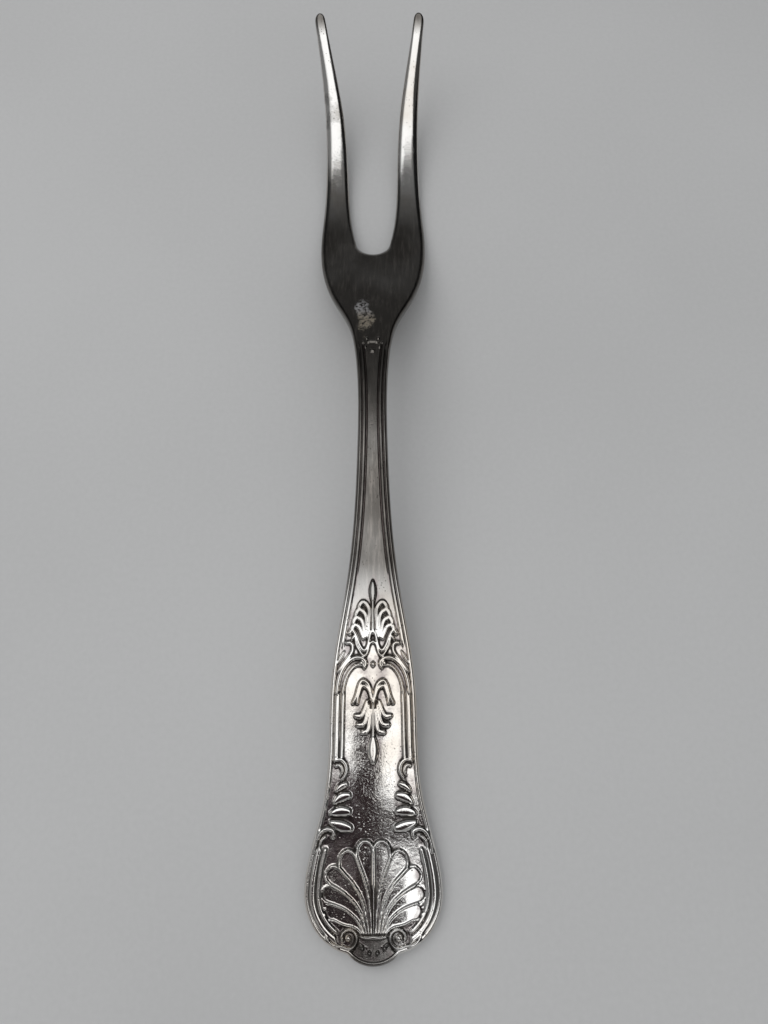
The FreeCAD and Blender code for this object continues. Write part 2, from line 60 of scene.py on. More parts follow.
# Place, full width, height of the underside and thickness at the middle.
STATIONS = np.array((
    (12.5, 26.8, 0.2, 2.4),
    (22.0, 23.6, 0.9, 2.4),
    (30.0, 19.6, 1.9, 2.45),
    (42.0, 17.8, 3.5, 2.5),
    (52.0, 17.1, 5.05, 2.6),
    (60.0, 15.0, 6.3, 2.6),
    (72.0, 10.8, 8.1, 2.75),
    (84.0, 8.1, 9.7, 2.9),
    (100.0, 6.6, 11.3, 3.2),
    (115.0, 6.5, 11.9, 3.4),
    (124.0, 7.8, 11.45, 3.4),
    (132.0, 10.9, 9.8, 3.2),
    (141.0, 18.7, 6.8, 3.0),
    (150.0, 24.2, 3.8, 2.85),
    (163.0, 26.3, 0.8, 2.8),
    (172.0, 25.3, 0.0, 2.9),
    (191.0, 24.2, 2.65, 3.0),
    (207.0, 25.5, 9.0, 2.8),
    (218.8, 28.1, 17.2, 2.6),
))
# Place, height of the underside and thickness outside the stations.
HANDLE_END = ((-3.0, 0.4, 2.1), (7.0, 0.0, 2.35))
PAST_TIP = (221.8, 19.5, 2.6)
LOBE_RADIUS, TONGUE_RADIUS = 10.66, 7.0
CROTCH_AT, CROTCH_RADIUS = 157.8, 4.3
CROTCH_TURN = math.radians(12)
# Place and full width of the gap between the tines.
GAP = ((166.0, 10.3), (184.0, 12.8), (203.0, 16.0))
TIP_RADIUS, TINE_LEAN = 1.3, 0.7
LEAN_FROM, LEAN_TO = STATIONS[-5, 0], STATIONS[-1, 0]
CROWN_RADIUS, BACK_RADIUS = 170.0, 400.0
# Width and drop of the rounded edges: above on the handle, above on the tines, below.
EDGE_ROUND, TINE_ROUND, BACK_ROUND = (0.75, 0.8), (1.9, 1.3), (0.6, 0.6)
# Where the handle's round starts to grow into the tines', over what length, and the
# length before the tip over which it shrinks again.
ROUND_GROWS_AT, ROUND_GROWS_OVER, TIP_TAPER = 128, 25, 14
TOP_COLUMNS, BACK_COLUMNS, ROUND_COLUMNS = 63, 5, 6


def spline(knots, values, at, first=None, last=None):
    """Smooth curve through a few values; first and last are its end slopes, if held."""
    knots, values = np.asarray(knots, float), np.asarray(values, float)
    step, rise = np.diff(knots), np.diff(values)
    count = len(knots)
    links, pulls = np.zeros((count, count)), np.zeros(count)
    for i in range(1, count - 1):
        links[i, i - 1:i + 2] = step[i], 2 * (step[i - 1] + step[i]), step[i - 1]
        pulls[i] = 3 * (step[i] * rise[i - 1] / step[i - 1] + step[i - 1] * rise[i] / step[i])
    for end, inside, slope in ((0, 1, first), (-1, -2, last)):
        if slope is None:
            links[end, end], links[end, inside] = 2, 1
            pulls[end] = 3 * rise[end] / step[end]
        else:
            links[end, end], pulls[end] = 1, slope
    slopes = np.linalg.solve(links, pulls)
    at = np.asarray(at, float)
    i = np.clip(np.searchsorted(knots, at) - 1, 0, count - 2)
    t = (at - knots[i]) / step[i]
    return (values[i] * (1 + 2 * t) * (1 - t) ** 2 + slopes[i] * step[i] * t * (1 - t) ** 2
            + values[i + 1] * t ** 2 * (3 - 2 * t) - slopes[i + 1] * step[i] * t ** 2 * (1 - t))


def smooth(value):
    """From 0 to 1 with level ends, as the value goes from 0 to 1."""
    value = np.clip(value, 0, 1)
    return value * value * (3 - 2 * value)


def arc(centre, radius, start, end, count=60):
    """Points of a round stretch between two directions."""
    turn = np.linspace(start, end, count)
    return np.column_stack((centre[0] + radius * np.cos(turn), centre[1] + radius * np.sin(turn)))


def run_along(path):
    """Length of a path up to each of its points."""
    return np.concatenate(([0], np.cumsum(np.hypot(*np.diff(path, axis=0).T))))


def spaced(path, count):
    """The same path with evenly spread points."""
    run = run_along(path)
    to = np.linspace(0, run[-1], count)
    return np.column_stack([np.interp(to, run, path[:, i]) for i in (0, 1)])


def unit(vector):
    """The same direction with length 1."""
    return np.asarray(vector, float) / np.linalg.norm(vector)


def angle(vector):
    """Direction of a vector as an angle."""
    return math.atan2(vector[1], vector[0])


# The tip of the right tine, before both tines lean to the left.
tip = np.array((STATIONS[-1, 1] / 2 - TIP_RADIUS, LENGTH - TIP_RADIUS))
flare = np.array((STATIONS[-2, 1] / 2, STATIONS[-2, 0]))
gap_flare = np.array((GAP[-1][1] / 2, GAP[-1][0]))
up_outside = unit(tip + (TIP_RADIUS, 0) - flare)
down_inside = unit(gap_flare - tip + (TIP_RADIUS, 0))
tip_outside = tip + TIP_RADIUS * np.array((up_outside[1], -up_outside[0]))
tip_inside = tip + TIP_RADIUS * np.array((down_inside[1], -down_inside[0]))
tip_way = unit(up_outside - down_inside)
crotch = np.array((0, CROTCH_AT + CROTCH_RADIUS))
gap_foot = crotch + CROTCH_RADIUS * np.array((math.cos(CROTCH_TURN), -math.sin(CROTCH_TURN)))


def half_width(s):
    """Half width of the fork between the widest place of the lobes and the tips."""
    return spline(np.append(STATIONS[:-1, 0], tip_outside[1]),
                  np.append(STATIONS[:-1, 1] / 2, tip_outside[0]),
                  s, 0, up_outside[0] / up_outside[1])


def half_gap(s):
    """Half width of the gap between the tines."""
    return spline([gap_foot[1], *(place for place, _ in GAP), tip_inside[1]],
                  [gap_foot[0], *(width / 2 for _, width in GAP), tip_inside[0]],
                  s, math.tan(CROTCH_TURN), down_inside[0] / down_inside[1])


def level(s):
    """Height of the underside and thickness of the fork at the middle."""
    places = [HANDLE_END[0][0], HANDLE_END[1][0], *STATIONS[:, 0], PAST_TIP[0]]
    return [spline(places, [HANDLE_END[0][k], HANDLE_END[1][k], *STATIONS[:, k + 1], PAST_TIP[k]],
                   s) for k in (1, 2)]


# The end of the handle: a round tongue between two round lobes, which meet in a notch.
lobe = np.array((STATIONS[0, 1] / 2 - LOBE_RADIUS, STATIONS[0, 0]))
tongue = np.array((0, TONGUE_RADIUS))
span = np.linalg.norm(tongue - lobe)
to_chord = (LOBE_RADIUS ** 2 - TONGUE_RADIUS ** 2 + span ** 2) / (2 * span)
half_chord = math.sqrt(LOBE_RADIUS ** 2 - to_chord ** 2)
toward = unit(tongue - lobe)
notch = lobe + toward * to_chord + np.array((-toward[1], toward[0])) * half_chord
end_edge = np.vstack((arc(tongue, TONGUE_RADIUS, -math.pi / 2, angle(notch - tongue)),
                      arc(lobe, LOBE_RADIUS, angle(notch - lobe), 0)[1:]))


def side_at(half, rows):
    """Points of an edge, from its half width at each row."""
    return np.column_stack((half(rows), rows))


def round_tip(half, end):
    """An edge of a tine from the flare up, and round the tip to its foremost point."""
    return np.vstack((side_at(half, np.linspace(flare[1], end[1], 30)),
                      arc(tip, TIP_RADIUS, angle(end - tip), angle(tip_way))[1:]))


# Rows of the grid, each stretch with its step: fine where the handle is ornamented,
# wider along the palm and the tines.
END_ROWS, CROTCH_ROWS, TIP_ROWS = 90, 16, 34
palm_end = CROTCH_AT - TINE_ROUND[0]
handle_rows = np.concatenate([np.arange(start, end, step) for start, end, step in (
    (STATIONS[0, 0], 75, 0.22), (75, 90, 0.4), (90, 121, 0.6), (121, 128, 0.25),
    (128, palm_end - 0.3, 1.0))])
crotch_rows = np.linspace(palm_end, gap_foot[1], CROTCH_ROWS, endpoint=False)
tine_rows = np.arange(gap_foot[1], flare[1], 1.0)
edge = np.vstack((
    spaced(end_edge, END_ROWS)[:-1],
    side_at(half_width, np.concatenate((handle_rows, crotch_rows, tine_rows))),
    spaced(round_tip(half_width, tip_outside), TIP_ROWS)))
gap_edge = np.vstack((
    spaced(arc(crotch, CROTCH_RADIUS, -math.pi / 2, -CROTCH_TURN), CROTCH_ROWS + 1)[:-1],
    side_at(half_gap, tine_rows),
    spaced(round_tip(half_gap, tip_inside), TIP_ROWS)))
first_gap_row = len(edge) - len(gap_edge)


def into_metal(path, first, last, side):
    """Directions square to an edge, into the metal on its left (1) or right (-1)."""
    along = np.gradient(path, axis=0)
    along[0], along[-1] = first, last
    along /= np.linalg.norm(along, axis=1)[:, None]
    return side * np.column_stack((-along[:, 1], along[:, 0]))


tip_along = np.array((tip_way[1], -tip_way[0]))
edge_in = into_metal(edge, (1, 0), -tip_along, 1)
gap_in = into_metal(gap_edge, (1, 0), tip_along, -1)


def lean(s):
    """Sideways shift of the tines towards their tips."""
    return -TINE_LEAN * np.clip((s - LEAN_FROM) / (LEAN_TO - LEAN_FROM), 0, None) ** 2


def skin(columns, handle_round, tine_round):
    """Grid of (u, s) from the middle or the gap to the edge, and its drop at the rounded rim."""
    share = smooth((edge[:, 1] - ROUND_GROWS_AT) / ROUND_GROWS_OVER)[:, None]
    tip_share = np.clip((LENGTH - edge[:, 1:]) / TIP_TAPER, 0.2, 1)
    width = (handle_round[0] + (tine_round[0] - handle_round[0]) * share) * tip_share ** 0.6
    depth = (handle_round[1] + (tine_round[1] - handle_round[1]) * share) * tip_share ** 0.3
    middle = np.concatenate((
        np.linspace(handle_round[0], STATIONS[0, 0], END_ROWS)[:-1], handle_rows))
    inner = np.vstack((side_at(np.zeros_like, middle),
                       gap_edge + gap_in * width[first_gap_row:]))
    outer = edge + edge_in * width
    share = np.linspace(0, 1, columns)[None, :, None]
    plain = inner[:, None] * (1 - share) + outer[:, None] * share
    turn = np.linspace(math.pi / 2, 0, ROUND_COLUMNS + 1)[1:]
    away = width * (1 - np.cos(turn))
    rim = edge[:, None] + edge_in[:, None] * away[..., None]
    gap_rim = gap_edge[:, None] + gap_in[:, None] * away[first_gap_row:, :, None]
    drop = depth * (1 - np.sin(turn))
    return np.concatenate((plain, rim), axis=1), gap_rim, drop


top_grid, top_gap, top_drop = skin(TOP_COLUMNS, EDGE_ROUND, TINE_ROUND)
back_grid, back_gap, back_drop = skin(BACK_COLUMNS, BACK_ROUND, BACK_ROUND)


# ---------------------------------------------------------------- fork: relief
# The ornament is struck into the handle and is the same on both sides of the middle:
# threads along the edges, a shell, husks and two palmettes.  Here it is a height over
# the plain face.
ORNAMENT_END, FAR = 130, 9.0
struck = top_grid[..., 1] < ORNAMENT_END
u, s = top_grid[struck].T
raised = np.zeros(len(u))


def from_line(path, margin=3):
    """Points of the face near a line, their distance from it, and how far along it they are."""
    near = np.flatnonzero((u > path[:, 0].min() - margin) & (u < path[:, 0].max() + margin)
                          & (s > path[:, 1].min() - margin) & (s < path[:, 1].max() + margin))
    best, share = np.full(len(near), 1e9), np.zeros(len(near))
    run = run_along(path)
    for k, (start, end) in enumerate(zip(path[:-1], path[1:])):
        way = end - start
        long = max(way @ way, 1e-12)
        t = np.clip(((u[near] - start[0]) * way[0] + (s[near] - start[1]) * way[1]) / long, 0, 1)
        away = np.hypot(u[near] - start[0] - t * way[0], s[near] - start[1] - t * way[1])
        closer = away < best
        best[closer] = away[closer]
        share[closer] = (run[k] + t * math.sqrt(long))[closer] / run[-1]
    return near, best, share


def curve(points, count=28):
    """A smooth path through a few points (u, s)."""
    points = np.asarray(points, float)
    if len(points) == 2:
        return points
    run = run_along(points)
    to = np.linspace(0, run[-1], count)
    return np.column_stack([spline(run, points[:, i], to) for i in (0, 1)])


def spiral(centre, radii, turns, count=9):
    """Points of a curl that winds inwards between two directions in degrees."""
    share = np.linspace(0, 1, count)
    turn = np.radians(turns[0] + (turns[1] - turns[0]) * share)
    radius = radii[0] + (radii[1] - radii[0]) * share
    return np.column_stack((centre[0] + radius * np.cos(turn), centre[1] + radius * np.sin(turn)))


def half_round(away, half):
    """Section of a raised line or bead, by the distance from its middle."""
    return np.sqrt(np.clip(1 - (away / half) ** 2, 0, 1))


def stroke(points, half, height, widths=(1, 1, 1), vein=0.0):
    """A rounded raised line; widths are its shares of width at the start, middle and end."""
    near, away, t = from_line(curve(points))
    start, middle, end = widths
    width = half * (start * (1 - t) * (1 - 2 * t) + middle * 4 * t * (1 - t)
                    + end * t * (2 * t - 1))
    width = np.maximum(width, 0.05)
    form = half_round(away, width) * np.minimum(1, width / (0.55 * half))
    form -= vein * np.exp(-(away / (0.28 * width)) ** 2) * (form > 0)
    raised[near] = np.maximum(raised[near], height * form)


def boss(centre, radius, height):
    """A round raised bead."""
    away = np.hypot(u - centre[0], s - centre[1])
    np.maximum(raised, height * half_round(away, radius), out=raised)


def between(low, high, blend):
    """1 along a stretch of the handle, fading to 0 at both of its ends."""
    return smooth((s - low) / blend) * smooth((high - s) / blend)


# Ground between the threads, and the threads themselves, which follow the edge at an
# inset.  The lobes' threads stop short of the volutes and the tongue.
LOBES, SHOULDERS, TAPER = (3.2, 21.0), (36.2, 50.5), (57.5, 127.0)
GROUND, THREAD_HEIGHT = -0.26, 0.36
VOLUTE, VOLUTE_REACH = (4.75, 4.9), 2.15
near_edge, edge_away, _ = from_line(edge[edge[:, 1] < ORNAMENT_END + 4])
inset = np.full(len(u), FAR)
inset[near_edge] = edge_away
clear = np.clip((np.hypot(u - VOLUTE[0], s - VOLUTE[1]) - VOLUTE_REACH) / 0.3, 0, 1)
border = half_round(inset - 0.5, 0.46) * between(-3, 126, 4.0)
# Stretch, length of its fading ends, and the inset and half width of each thread.
for stretch, blend, threads in (
    (LOBES, 0.8, ((1.62, 0.63), (2.8, 0.42))),
    (SHOULDERS, 1.2, ((1.62, 0.6), (2.75, 0.42))),
    (TAPER, 3.0, ((1.42, 0.48),)),
):
    for at, half in threads:
        border = np.maximum(border, half_round(inset - at, half) * between(*stretch, blend) * clear)
plain_stem = between(72, 130, 4.0) * smooth((inset - 1.9) / 0.35)
ground = GROUND * between(-3, 128, 4.0) * (1 - plain_stem)

# Shell: five flutes on each side, dished between ridges that run together at the hinge
# and close round the tip of each flute.
RIDGES = (
    ((0, 5.6), (0, 13.0), (0, 20.4)),
    ((0.4, 5.6), (0.7, 10.0), (1.15, 13.0), (2.1, 16.0), (3.3, 18.9)),
    ((0.9, 5.6), (1.6, 9.5), (2.7, 12.5), (4.6, 15.0), (6.6, 17.0)),
    ((1.4, 5.6), (2.0, 8.0), (3.3, 10.5), (5.6, 12.6), (8.2, 14.0)),
    ((1.9, 5.6), (2.6, 7.2), (4.1, 8.9), (5.9, 10.0), (8.4, 10.8)),
    ((2.4, 5.6), (3.6, 6.6), (5.4, 7.0), (7.4, 7.8)),
)
# The rim from the middle line round the tips of the flutes, in rounded scallops.
SCALLOPS = (
    ((0, 20.4), (0.45, 21.4), (1.7, 21.9), (2.9, 21.2), (3.3, 18.9)),
    ((3.3, 18.9), (4.0, 19.9), (5.4, 20.1), (6.5, 19.0), (6.6, 17.0)),
    ((6.6, 17.0), (7.6, 17.4), (8.9, 16.7), (9.3, 15.3), (8.2, 14.0)),
    ((8.2, 14.0), (9.3, 13.7), (10.0, 12.5), (9.6, 11.3), (8.4, 10.8)),
    ((8.4, 10.8), (9.2, 10.2), (9.2, 8.9), (8.5, 8.0), (7.4, 7.8)),
)
HINGE_AT, RIDGE_HALF, RIDGE_RISE, RIM_REACH = 5.6, 0.24, 0.46, 0.45
FLUTE_HALF, DISH_RISE, DISH_DEPTH = 0.95, 0.2, 0.34
DOME_FROM, DOME_FALL = 3.0, 0.0115
outer_line = np.vstack([curve(points, 14) for points in SCALLOPS] + [curve(RIDGES[-1])[::-1]])
loop = np.vstack((outer_line, (RIDGES[0][0],)))
inside = np.zeros(len(u), bool)
for start, end in zip(loop, np.roll(loop, -1, axis=0)):
    crosses = (start[1] > s) != (end[1] > s)
    with np.errstate(divide="ignore", invalid="ignore"):
        crossing = (end[0] - start[0]) * (s - start[1]) / (end[1] - start[1]) + start[0]
    inside ^= crosses & (u < crossing)
line_distance = np.full(len(u), FAR)
for path in [outer_line] + [curve(points) for points in RIDGES]:
    near, away, _ = from_line(path)
    line_distance[near] = np.minimum(line_distance[near], away)
dish = DISH_RISE - DISH_DEPTH * np.sqrt(np.clip(line_distance / FLUTE_HALF, 0, 1))
towards_tips = np.clip((s - HINGE_AT) / 9.0, 0.45, 1)
ridge = RIDGE_RISE * half_round(line_distance, RIDGE_HALF * towards_tips)
dome = -DOME_FALL * np.clip(u - DOME_FROM, 0, None) ** 2
shell = np.where(inside, np.maximum(dish, ridge) + dome,
                 np.where(line_distance < RIM_REACH, ridge + dome, 0))

# Volutes, and beads on the tongue.
stroke(np.vstack((((9.1, 5.4), (7.6, 3.7)), spiral(VOLUTE, (1.85, 1.25), (-48, -385)))),
       0.33, 0.52, (0.6, 1, 0.6))
boss(VOLUTE, 0.62, 0.6)
for centre in ((2.1, 3.2), (0.75, 2.4)):
    boss(centre, 0.42, 0.5)
stroke(((0, 5.0), (1.4, 4.9), (2.6, 5.2)), 0.42, 0.4, (1, 0.9, 0.4))

# Scroll over each lobe, where the threads end.
stroke(((11.5, 19.8), (11.0, 22.2), (9.9, 23.7), (8.6, 24.0), (7.7, 23.4), (7.9, 22.6)),
       0.5, 0.52, (0.6, 0.9, 0.8))
stroke(((10.6, 20.4), (10.1, 21.9), (9.2, 22.7)), 0.3, 0.4, (0.7, 1, 0.6))

# Husks, one over another, and the hoof above them.
for points, half in (
    (((5.3, 32.3), (6.3, 31.9), (7.3, 31.0)), 0.6),
    (((4.9, 30.2), (6.2, 29.9), (7.6, 28.9)), 0.86),
    (((4.9, 27.2), (6.5, 27.3), (8.2, 26.9)), 0.92),
    (((4.7, 24.2), (6.4, 24.6), (8.3, 25.2)), 0.98),
):
    stroke(points, half, 0.55, (0.75, 1.05, 0.5), 0.08)
stroke(((7.7, 36.7), (6.4, 36.9), (5.3, 35.7), (5.4, 34.2), (6.3, 33.0)), 0.4, 0.5, (0.7, 1, 0.5))
stroke(((7.5, 35.7), (6.7, 35.8), (6.2, 35.0), (6.5, 33.8)), 0.3, 0.4, (0.7, 1, 0.5))

# Threads of the shoulders curl into scrolls at the middle; small ears outside them.
stroke(((7.3, 49.5), (6.7, 53.0), (5.3, 55.4), (3.6, 56.5), (2.1, 56.3), (1.4, 55.4), (1.8, 54.6)),
       0.42, 0.5, (0.9, 1, 0.9))
stroke(((6.1, 49.5), (5.4, 52.6), (4.2, 54.4), (3.0, 55.1), (2.2, 55.0)), 0.32, 0.42, (0.9, 1, 0.8))
boss((2.3, 55.4), 0.6, 0.55)
boss((0, 55.2), 0.55, 0.5)
stroke(((7.2, 53.6), (6.0, 55.3), (4.8, 56.8), (4.1, 58.2), (4.5, 59.4), (5.3, 59.4)),
       0.4, 0.46, (0.5, 1, 0.9))
stroke(((7.4, 55.2), (6.5, 56.6), (5.8, 57.8)), 0.3, 0.36, (0.5, 1, 0.6))

# Upper palmette: a tall bud, four plumes that curl outwards and a waved calyx.
stroke(((0, 61.5), (0, 66.0), (0, 70.5)), 0.5, 0.5, (0.9, 0.7, 0.7))
stroke(((0, 67.6), (0, 69.8), (0, 71.7)), 0.85, 0.6, (0.4, 1.0, 0.45))
for points in (
    ((0.75, 60.8), (0.75, 64.4), (1.1, 66.9), (2.0, 67.6), (2.9, 66.6)),
    ((1.15, 60.6), (1.3, 63.6), (1.9, 65.6), (2.8, 66.0), (3.5, 65.0)),
    ((1.55, 60.4), (1.9, 62.6), (2.6, 64.2), (3.4, 64.4), (4.0, 63.4)),
    ((1.95, 60.2), (2.4, 61.7), (3.1, 62.8), (3.8, 62.9), (4.3, 62.0)),
):
    stroke(points, 0.5, 0.48, (0.5, 0.9, 0.95), 0.3)
    boss(points[-1], 0.42, 0.5)
for lower, half in ((0.0, 0.38), (1.15, 0.28)):
    stroke(((4.8 - 0.5 * lower, 61.3 - lower), (4.3 - 0.5 * lower, 61.9 - lower),
            (3.5, 61.0 - lower), (2.7, 59.0 - lower), (1.75, 57.9 - 0.9 * lower),
            (0.95, 59.3 - 1.1 * lower), (0.5, 61.2 - 1.6 * lower), (0, 62.2 - 2.2 * lower)),
           half, 0.48)

# Lower palmette: doubled arches, three curling leaves and a hanging drop.
for step_in in (0.0, 1.0):
    stroke(((0, 47.6), (0.45, 49.8 - step_in), (1.2, 51.6 - step_in), (2.1, 52.0 - step_in),
            (2.9 - 0.2 * step_in, 50.8 - step_in), (3.5 - 0.5 * step_in, 48.8),
            (4.1 - 0.9 * step_in, 47.6)), 0.42, 0.48, (0.8, 1, 0.8))
for points in (
    ((1.2, 48.0), (1.7, 46.4), (2.6, 45.1), (3.5, 45.2)),
    ((0.9, 47.2), (1.3, 45.0), (2.1, 43.5), (3.1, 43.5)),
    ((0.5, 46.4), (0.75, 44.0), (1.3, 42.2), (2.2, 42.0)),
):
    stroke(points, 0.55, 0.5, (0.6, 0.95, 0.85), 0.3)
    boss(points[-1], 0.46, 0.5)
stroke(((0, 47.4), (0, 44.0), (0, 41.0)), 0.34, 0.42)
stroke(((0, 41.6), (0, 38.7), (0, 36.6)), 1.1, 0.58, (0.25, 1.0, 0.6))

# Beads and a bar where the threads close at the neck.
boss((0, 123.6), 0.6, 0.36)
for centre in ((1.6, 124.6), (2.1, 125.9), (1.3, 127.1)):
    boss(centre, 0.36, 0.3)
stroke(((0, 126.1), (0.5, 126.1), (1.0, 126.0)), 0.32, 0.32)

relief = np.zeros(top_grid.shape[:2])
relief[struck] = np.where(
    inside, shell, ground + np.maximum(np.maximum(border * THREAD_HEIGHT, raised), shell))


def spread(field, reach):
    """Mean of a field over a square of neighbours."""
    for axis in (0, 1):
        padded = np.concatenate([np.repeat(field.take([0], axis), reach, axis), field,
                                 np.repeat(field.take([-1], axis), reach, axis)], axis)
        total = np.insert(np.cumsum(padded, axis), 0, 0, axis)
        width, size = 2 * reach + 1, field.shape[axis]
        field = (total.take(range(width, width + size), axis)
                 - total.take(range(size), axis)) / width
    return field


# How far the face lies below what is near it: close beside raised metal, where the dark
# of age stays, and more widely round the ornament, where the ground is dull.
hollows = {
    "cavity": np.clip((spread(relief, 2) + spread(relief, 4)) / 2 - relief, 0, None),
    "halo": np.clip(spread(relief, 9) - relief, 0, None),
}


# ---------------------------------------------------------------- fork: mesh
# The two halves of the skin are joined along the middle line, leaned with the tines and
# put where the CAD's fork lies.  The closed skin stands for that one solid.
def place(grid, rise, side, above):
    """Corners of a grid on the upper face or the back, in metres."""
    x = side * grid[..., 0] + lean(grid[..., 1])
    under, thick = level(grid[..., 1])
    if above:
        z = under + thick - CROWN_RADIUS + np.sqrt(CROWN_RADIUS ** 2 - x ** 2) + rise
    else:
        z = under + BACK_RADIUS - np.sqrt(BACK_RADIUS ** 2 - x ** 2) + rise
    return np.stack((x * MM, (grid[..., 1] - LENGTH / 2) * MM, z * MM + TABLE), axis=-1)


def grid_faces(rows, columns, first):
    """Corner numbers of every face of a grid, from the number of its first corner."""
    corner = np.arange(rows * columns).reshape(rows, columns) + first
    return np.stack((corner[:-1, :-1], corner[:-1, 1:], corner[1:, 1:], corner[1:, :-1]),
                    axis=-1).reshape(-1, 4)


corners, faces, corner_count = [], [], 0
layers = {name: [] for name in hollows}
top_rise, back_rise = relief.copy(), np.zeros(back_grid.shape[:2])
top_rise[:, TOP_COLUMNS:] -= top_drop
back_rise[:, BACK_COLUMNS:] = back_drop
for side in (1, -1):
    top = place(top_grid, top_rise, side, True)
    back = place(back_grid, back_rise, side, False)
    outside = np.concatenate((top, back[:, ::-1]), axis=1)
    gap_top = place(top_gap, -top_drop[first_gap_row:], side, True)
    gap_back = place(back_gap, back_drop[first_gap_row:], side, False)
    gap_side = np.concatenate((
        top[first_gap_row:, :1], gap_top, gap_back[:, ::-1], back[first_gap_row:, :1]), axis=1)
    for patch in (outside, gap_side):
        rows, columns = patch.shape[:2]
        corners.append(patch.reshape(-1, 3))
        faces.append(grid_faces(rows, columns, corner_count))
        corner_count += rows * columns
        for name, hollow in hollows.items():
            layer = np.zeros((rows, columns))
            if patch is outside:
                layer[:, :hollow.shape[1]] = hollow
            layers[name].append(layer.reshape(-1))

mesh = bpy.data.meshes.new("fork_skin")
mesh.from_pydata(np.vstack(corners).tolist(), [], np.vstack(faces).tolist())
for name, layer in layers.items():
    attribute = mesh.attributes.new(name, "FLOAT", "POINT")
    attribute.data.foreach_set("value", np.concatenate(layer))
build = bmesh.new()
build.from_mesh(mesh)
bmesh.ops.remove_doubles(build, verts=build.verts, dist=0.004 * MM)
bmesh.ops.dissolve_degenerate(build, edges=build.edges, dist=0.002 * MM)
bmesh.ops.recalc_face_normals(build, faces=build.faces)
for face in build.faces:
    face.smooth = True
build.to_mesh(mesh)
build.free()
fork = bpy.data.objects.new("silver_fork", mesh)
bpy.context.scene.collection.objects.link(fork)
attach(fork, "root")
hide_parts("fork")


# ---------------------------------------------------------------- silver
# Old silver plate: bright where it is handled, filmed with brown along the stem and
# the palm, nearly black beside the relief, scratched and pitted.  The brown on the stem,
# the palm and the ends is partly tarnish and partly painted dark reflection.
def maths(operation, swapped=False):
    """A method of Value that adds one Math node."""
    def method(self, other):
        first, second = (other, self) if swapped else (self, other)
        return self.node("Math", {0: first, 1: second}, operation=operation)
    return method


class Value:
    """An output of a node, with the operators of numbers; without a socket, only its tree."""

    def __init__(self, tree, socket=None):
        self.tree, self.socket = tree, socket

    def node(self, kind, inputs, output=0, **settings):
        """The output of a new node of the same tree."""
        made = self.tree.nodes.new("ShaderNode" + kind)
        for name, setting in settings.items():
            setattr(made, name, setting)
        for key, value in inputs.items():
            if isinstance(value, Value):
                self.tree.links.new(value.socket, made.inputs[key])
            else:
                made.inputs[key].default_value = value
        return Value(self.tree, made.outputs[output])

    __add__, __radd__ = maths("ADD"), maths("ADD", True)
    __sub__, __rsub__ = maths("SUBTRACT"), maths("SUBTRACT", True)
    __mul__, __rmul__ = maths("MULTIPLY"), maths("MULTIPLY", True)
    __truediv__, __rtruediv__ = maths("DIVIDE"), maths("DIVIDE", True)
    least, most = maths("MINIMUM"), maths("MAXIMUM")

    def ramp(self, low, high, start=0.0, end=1.0):
        """Smoothly from start to end as the value goes from low to high."""
        return self.node("MapRange", {0: self, 1: low, 2: high, 3: start, 4: end},
                         interpolation_type="SMOOTHSTEP")

    def mix(self, first, second):
        """Between two colours by this value."""
        return self.node("Mix", {0: self, 6: first, 7: second}, 2, data_type="RGBA")

    def bump(self, distance, strength):
        """Normals of a surface with this height."""
        return self.node("Bump", {"Height": self, "Distance": distance, "Strength": strength})

    def into(self, socket):
        """Link this value to a socket of the shader."""
        self.tree.links.new(self.socket, socket)


def new_finish(name):
    """A new material, a start for its nodes, and the sockets of its shader."""
    material = bpy.data.materials.new(name)
    material.use_nodes = True
    tree = material.node_tree
    return material, Value(tree), tree.nodes["Principled BSDF"].inputs


silver, silver_nodes, silver_sockets = new_finish("silver_plate")
place_on_fork = silver_nodes.node("TexCoord", {}, 3)
across, along = (place_on_fork.node("SeparateXYZ", {0: place_on_fork}, axis) / MM
                 for axis in (0, 1))
along = along + LENGTH / 2
cavity = silver_nodes.node("Attribute", {}, 2, attribute_name="cavity")
halo = silver_nodes.node("Attribute", {}, 2, attribute_name="halo")


def noise(scale, detail=4.0, rough=0.55, stretch=(1, 1, 1)):
    """A pattern on the fork; scale counts its patches per centimetre."""
    at = place_on_fork.node("Mapping", {0: place_on_fork, 3: stretch})
    return at.node("TexNoise", {"Vector": at, "Scale": scale * 100, "Detail": detail,
                                "Roughness": rough})


# Patterns of the metal, and scratches along and across it.
blotches = noise(0.55)
mottle = noise(2.4)
grain = noise(14, 6, 0.65)
hairs = noise(5, 3, 0.6, (6.0, 0.35, 1)).ramp(0.6, 0.78)
streaks = noise(3, 4, 0.65, (5.0, 0.5, 1)).ramp(0.45, 0.75)
cross_hairs = noise(4, 3, 0.6, (0.4, 5.0, 1)).ramp(0.64, 0.8)
dents = noise(26, 3, 0.6).ramp(0.52, 0.7)
# Pits all over, thickest at one place of the right tine.
pitted = along.ramp(174, 178) * along.ramp(190, 184) * across.ramp(5, 7)
pit_cells = place_on_fork.node("TexVoronoi", {"Vector": place_on_fork, "Scale": 1500.0})
pits = pit_cells.ramp(0.26, 0.08) * mottle.ramp(0.48, 0.6).most(pitted)
